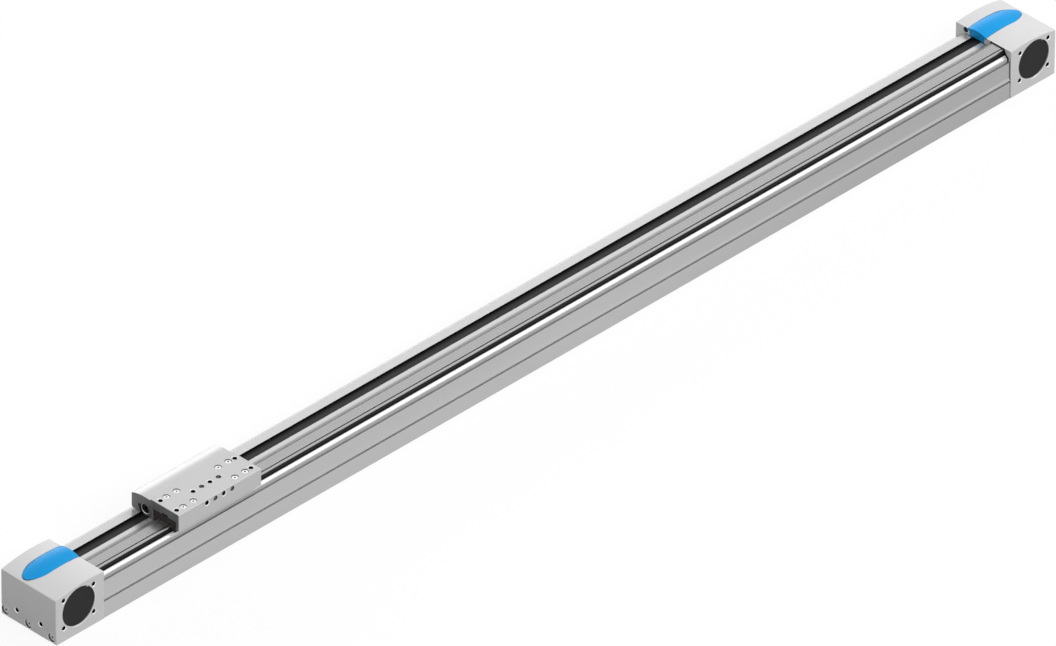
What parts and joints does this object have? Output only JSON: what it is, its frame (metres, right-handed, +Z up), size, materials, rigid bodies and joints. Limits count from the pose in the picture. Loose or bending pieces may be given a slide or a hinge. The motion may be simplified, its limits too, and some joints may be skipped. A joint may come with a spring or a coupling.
{
  "type": "toothed belt linear axis",
  "caption": "Long belt-driven linear axis: an extruded profile with a guide rail, a low slide pulled by a toothed belt, and a pulley housing with a blue belt cover at each end.",
  "frame": {"origin": "middle of the profile's underside, half way between the end caps", "axes": "+X along the axis from the near cap to the far cap, +Z up out of the slide's top, -Y out of the side with the guide rail"},
  "size_m": [1.219, 0.0675, 0.0627],
  "materials": {
    "profile_aluminium": "satin anodised extrusion with fine die lines",
    "cap_aluminium": "fine matt machined and anodised",
    "slide_aluminium": "satin anodised",
    "clamp_aluminium": "satin anodised",
    "pulley_aluminium": "turned and anodised",
    "rail_steel": "ground along its length",
    "runner_steel": "ground",
    "bearing_steel": "ground",
    "screw_steel": "zinc plated",
    "dark_steel": "blackened",
    "cover_plastic": "smooth satin blue",
    "port_plastic": "fine matt black",
    "runner_plastic": "matt black",
    "belt_rubber": "matt polyurethane with a smooth back",
    "seal_rubber": "matt black"
  },
  "bodies": {
    "axis_base": {"far_bearing_clips": "screw_steel", "far_belt_cover": "cover_plastic", "far_cap_screws": "screw_steel", "far_end_cap": "cap_aluminium", "far_front_bearing_outer": "bearing_steel", "far_front_port_cover": "port_plastic", "far_rail_seal": "seal_rubber", "far_rear_bearing_outer": "bearing_steel", "far_rear_port_cover": "port_plastic", "far_stop_buffer": "seal_rubber", "guide_rail": "rail_steel", "near_bearing_clips": "screw_steel", "near_belt_cover": "cover_plastic", "near_cap_screws": "screw_steel", "near_end_cap": "cap_aluminium", "near_front_bearing_outer": "bearing_steel", "near_front_port_cover": "port_plastic", "near_rail_seal": "seal_rubber", "near_rear_bearing_outer": "bearing_steel", "near_rear_port_cover": "port_plastic", "near_stop_buffer": "seal_rubber", "profile": "profile_aluminium", "toothed_belt": "belt_rubber"},
    "slide": {"slide_plate": "slide_aluminium", "slide_screws": "screw_steel", "near_runner_block": "runner_steel", "near_runner_end_caps": "runner_plastic", "near_belt_clamp": "clamp_aluminium", "near_tension_screw": "dark_steel", "far_runner_block": "runner_steel", "far_runner_end_caps": "runner_plastic", "far_belt_clamp": "clamp_aluminium", "far_tension_screw": "dark_steel"},
    "near_drive": {"near_pulley": "pulley_aluminium", "near_pulley_flanges": "pulley_aluminium", "near_front_bearing_inner": "bearing_steel", "near_rear_bearing_inner": "bearing_steel"},
    "far_drive": {"far_pulley": "pulley_aluminium", "far_pulley_flanges": "pulley_aluminium", "far_front_bearing_inner": "bearing_steel", "far_rear_bearing_inner": "bearing_steel"}
  },
  "joints": [
    {"name": "slide_travel", "type": "slide", "parent": "axis_base", "child": "slide", "axis": [1, 0, 0], "range_m": [-0.084, 0.916], "deforming": ["toothed_belt"]},
    {"name": "near_pulley_turn", "type": "hinge", "parent": "axis_base", "child": "near_drive", "pos_m": [-0.5825, 0, 0.0275], "axis": [0, 1, 0], "range_deg": [-380, 4124]},
    {"name": "far_pulley_turn", "type": "hinge", "parent": "axis_base", "child": "far_drive", "pos_m": [0.5825, 0, 0.0275], "axis": [0, 1, 0], "range_deg": [-380, 4124]}
  ],
  "couplings": [
    {"joint": "near_pulley_turn", "follows": "slide_travel", "rad_per_m": 78.54},
    {"joint": "far_pulley_turn", "follows": "slide_travel", "rad_per_m": 78.54}
  ]
}
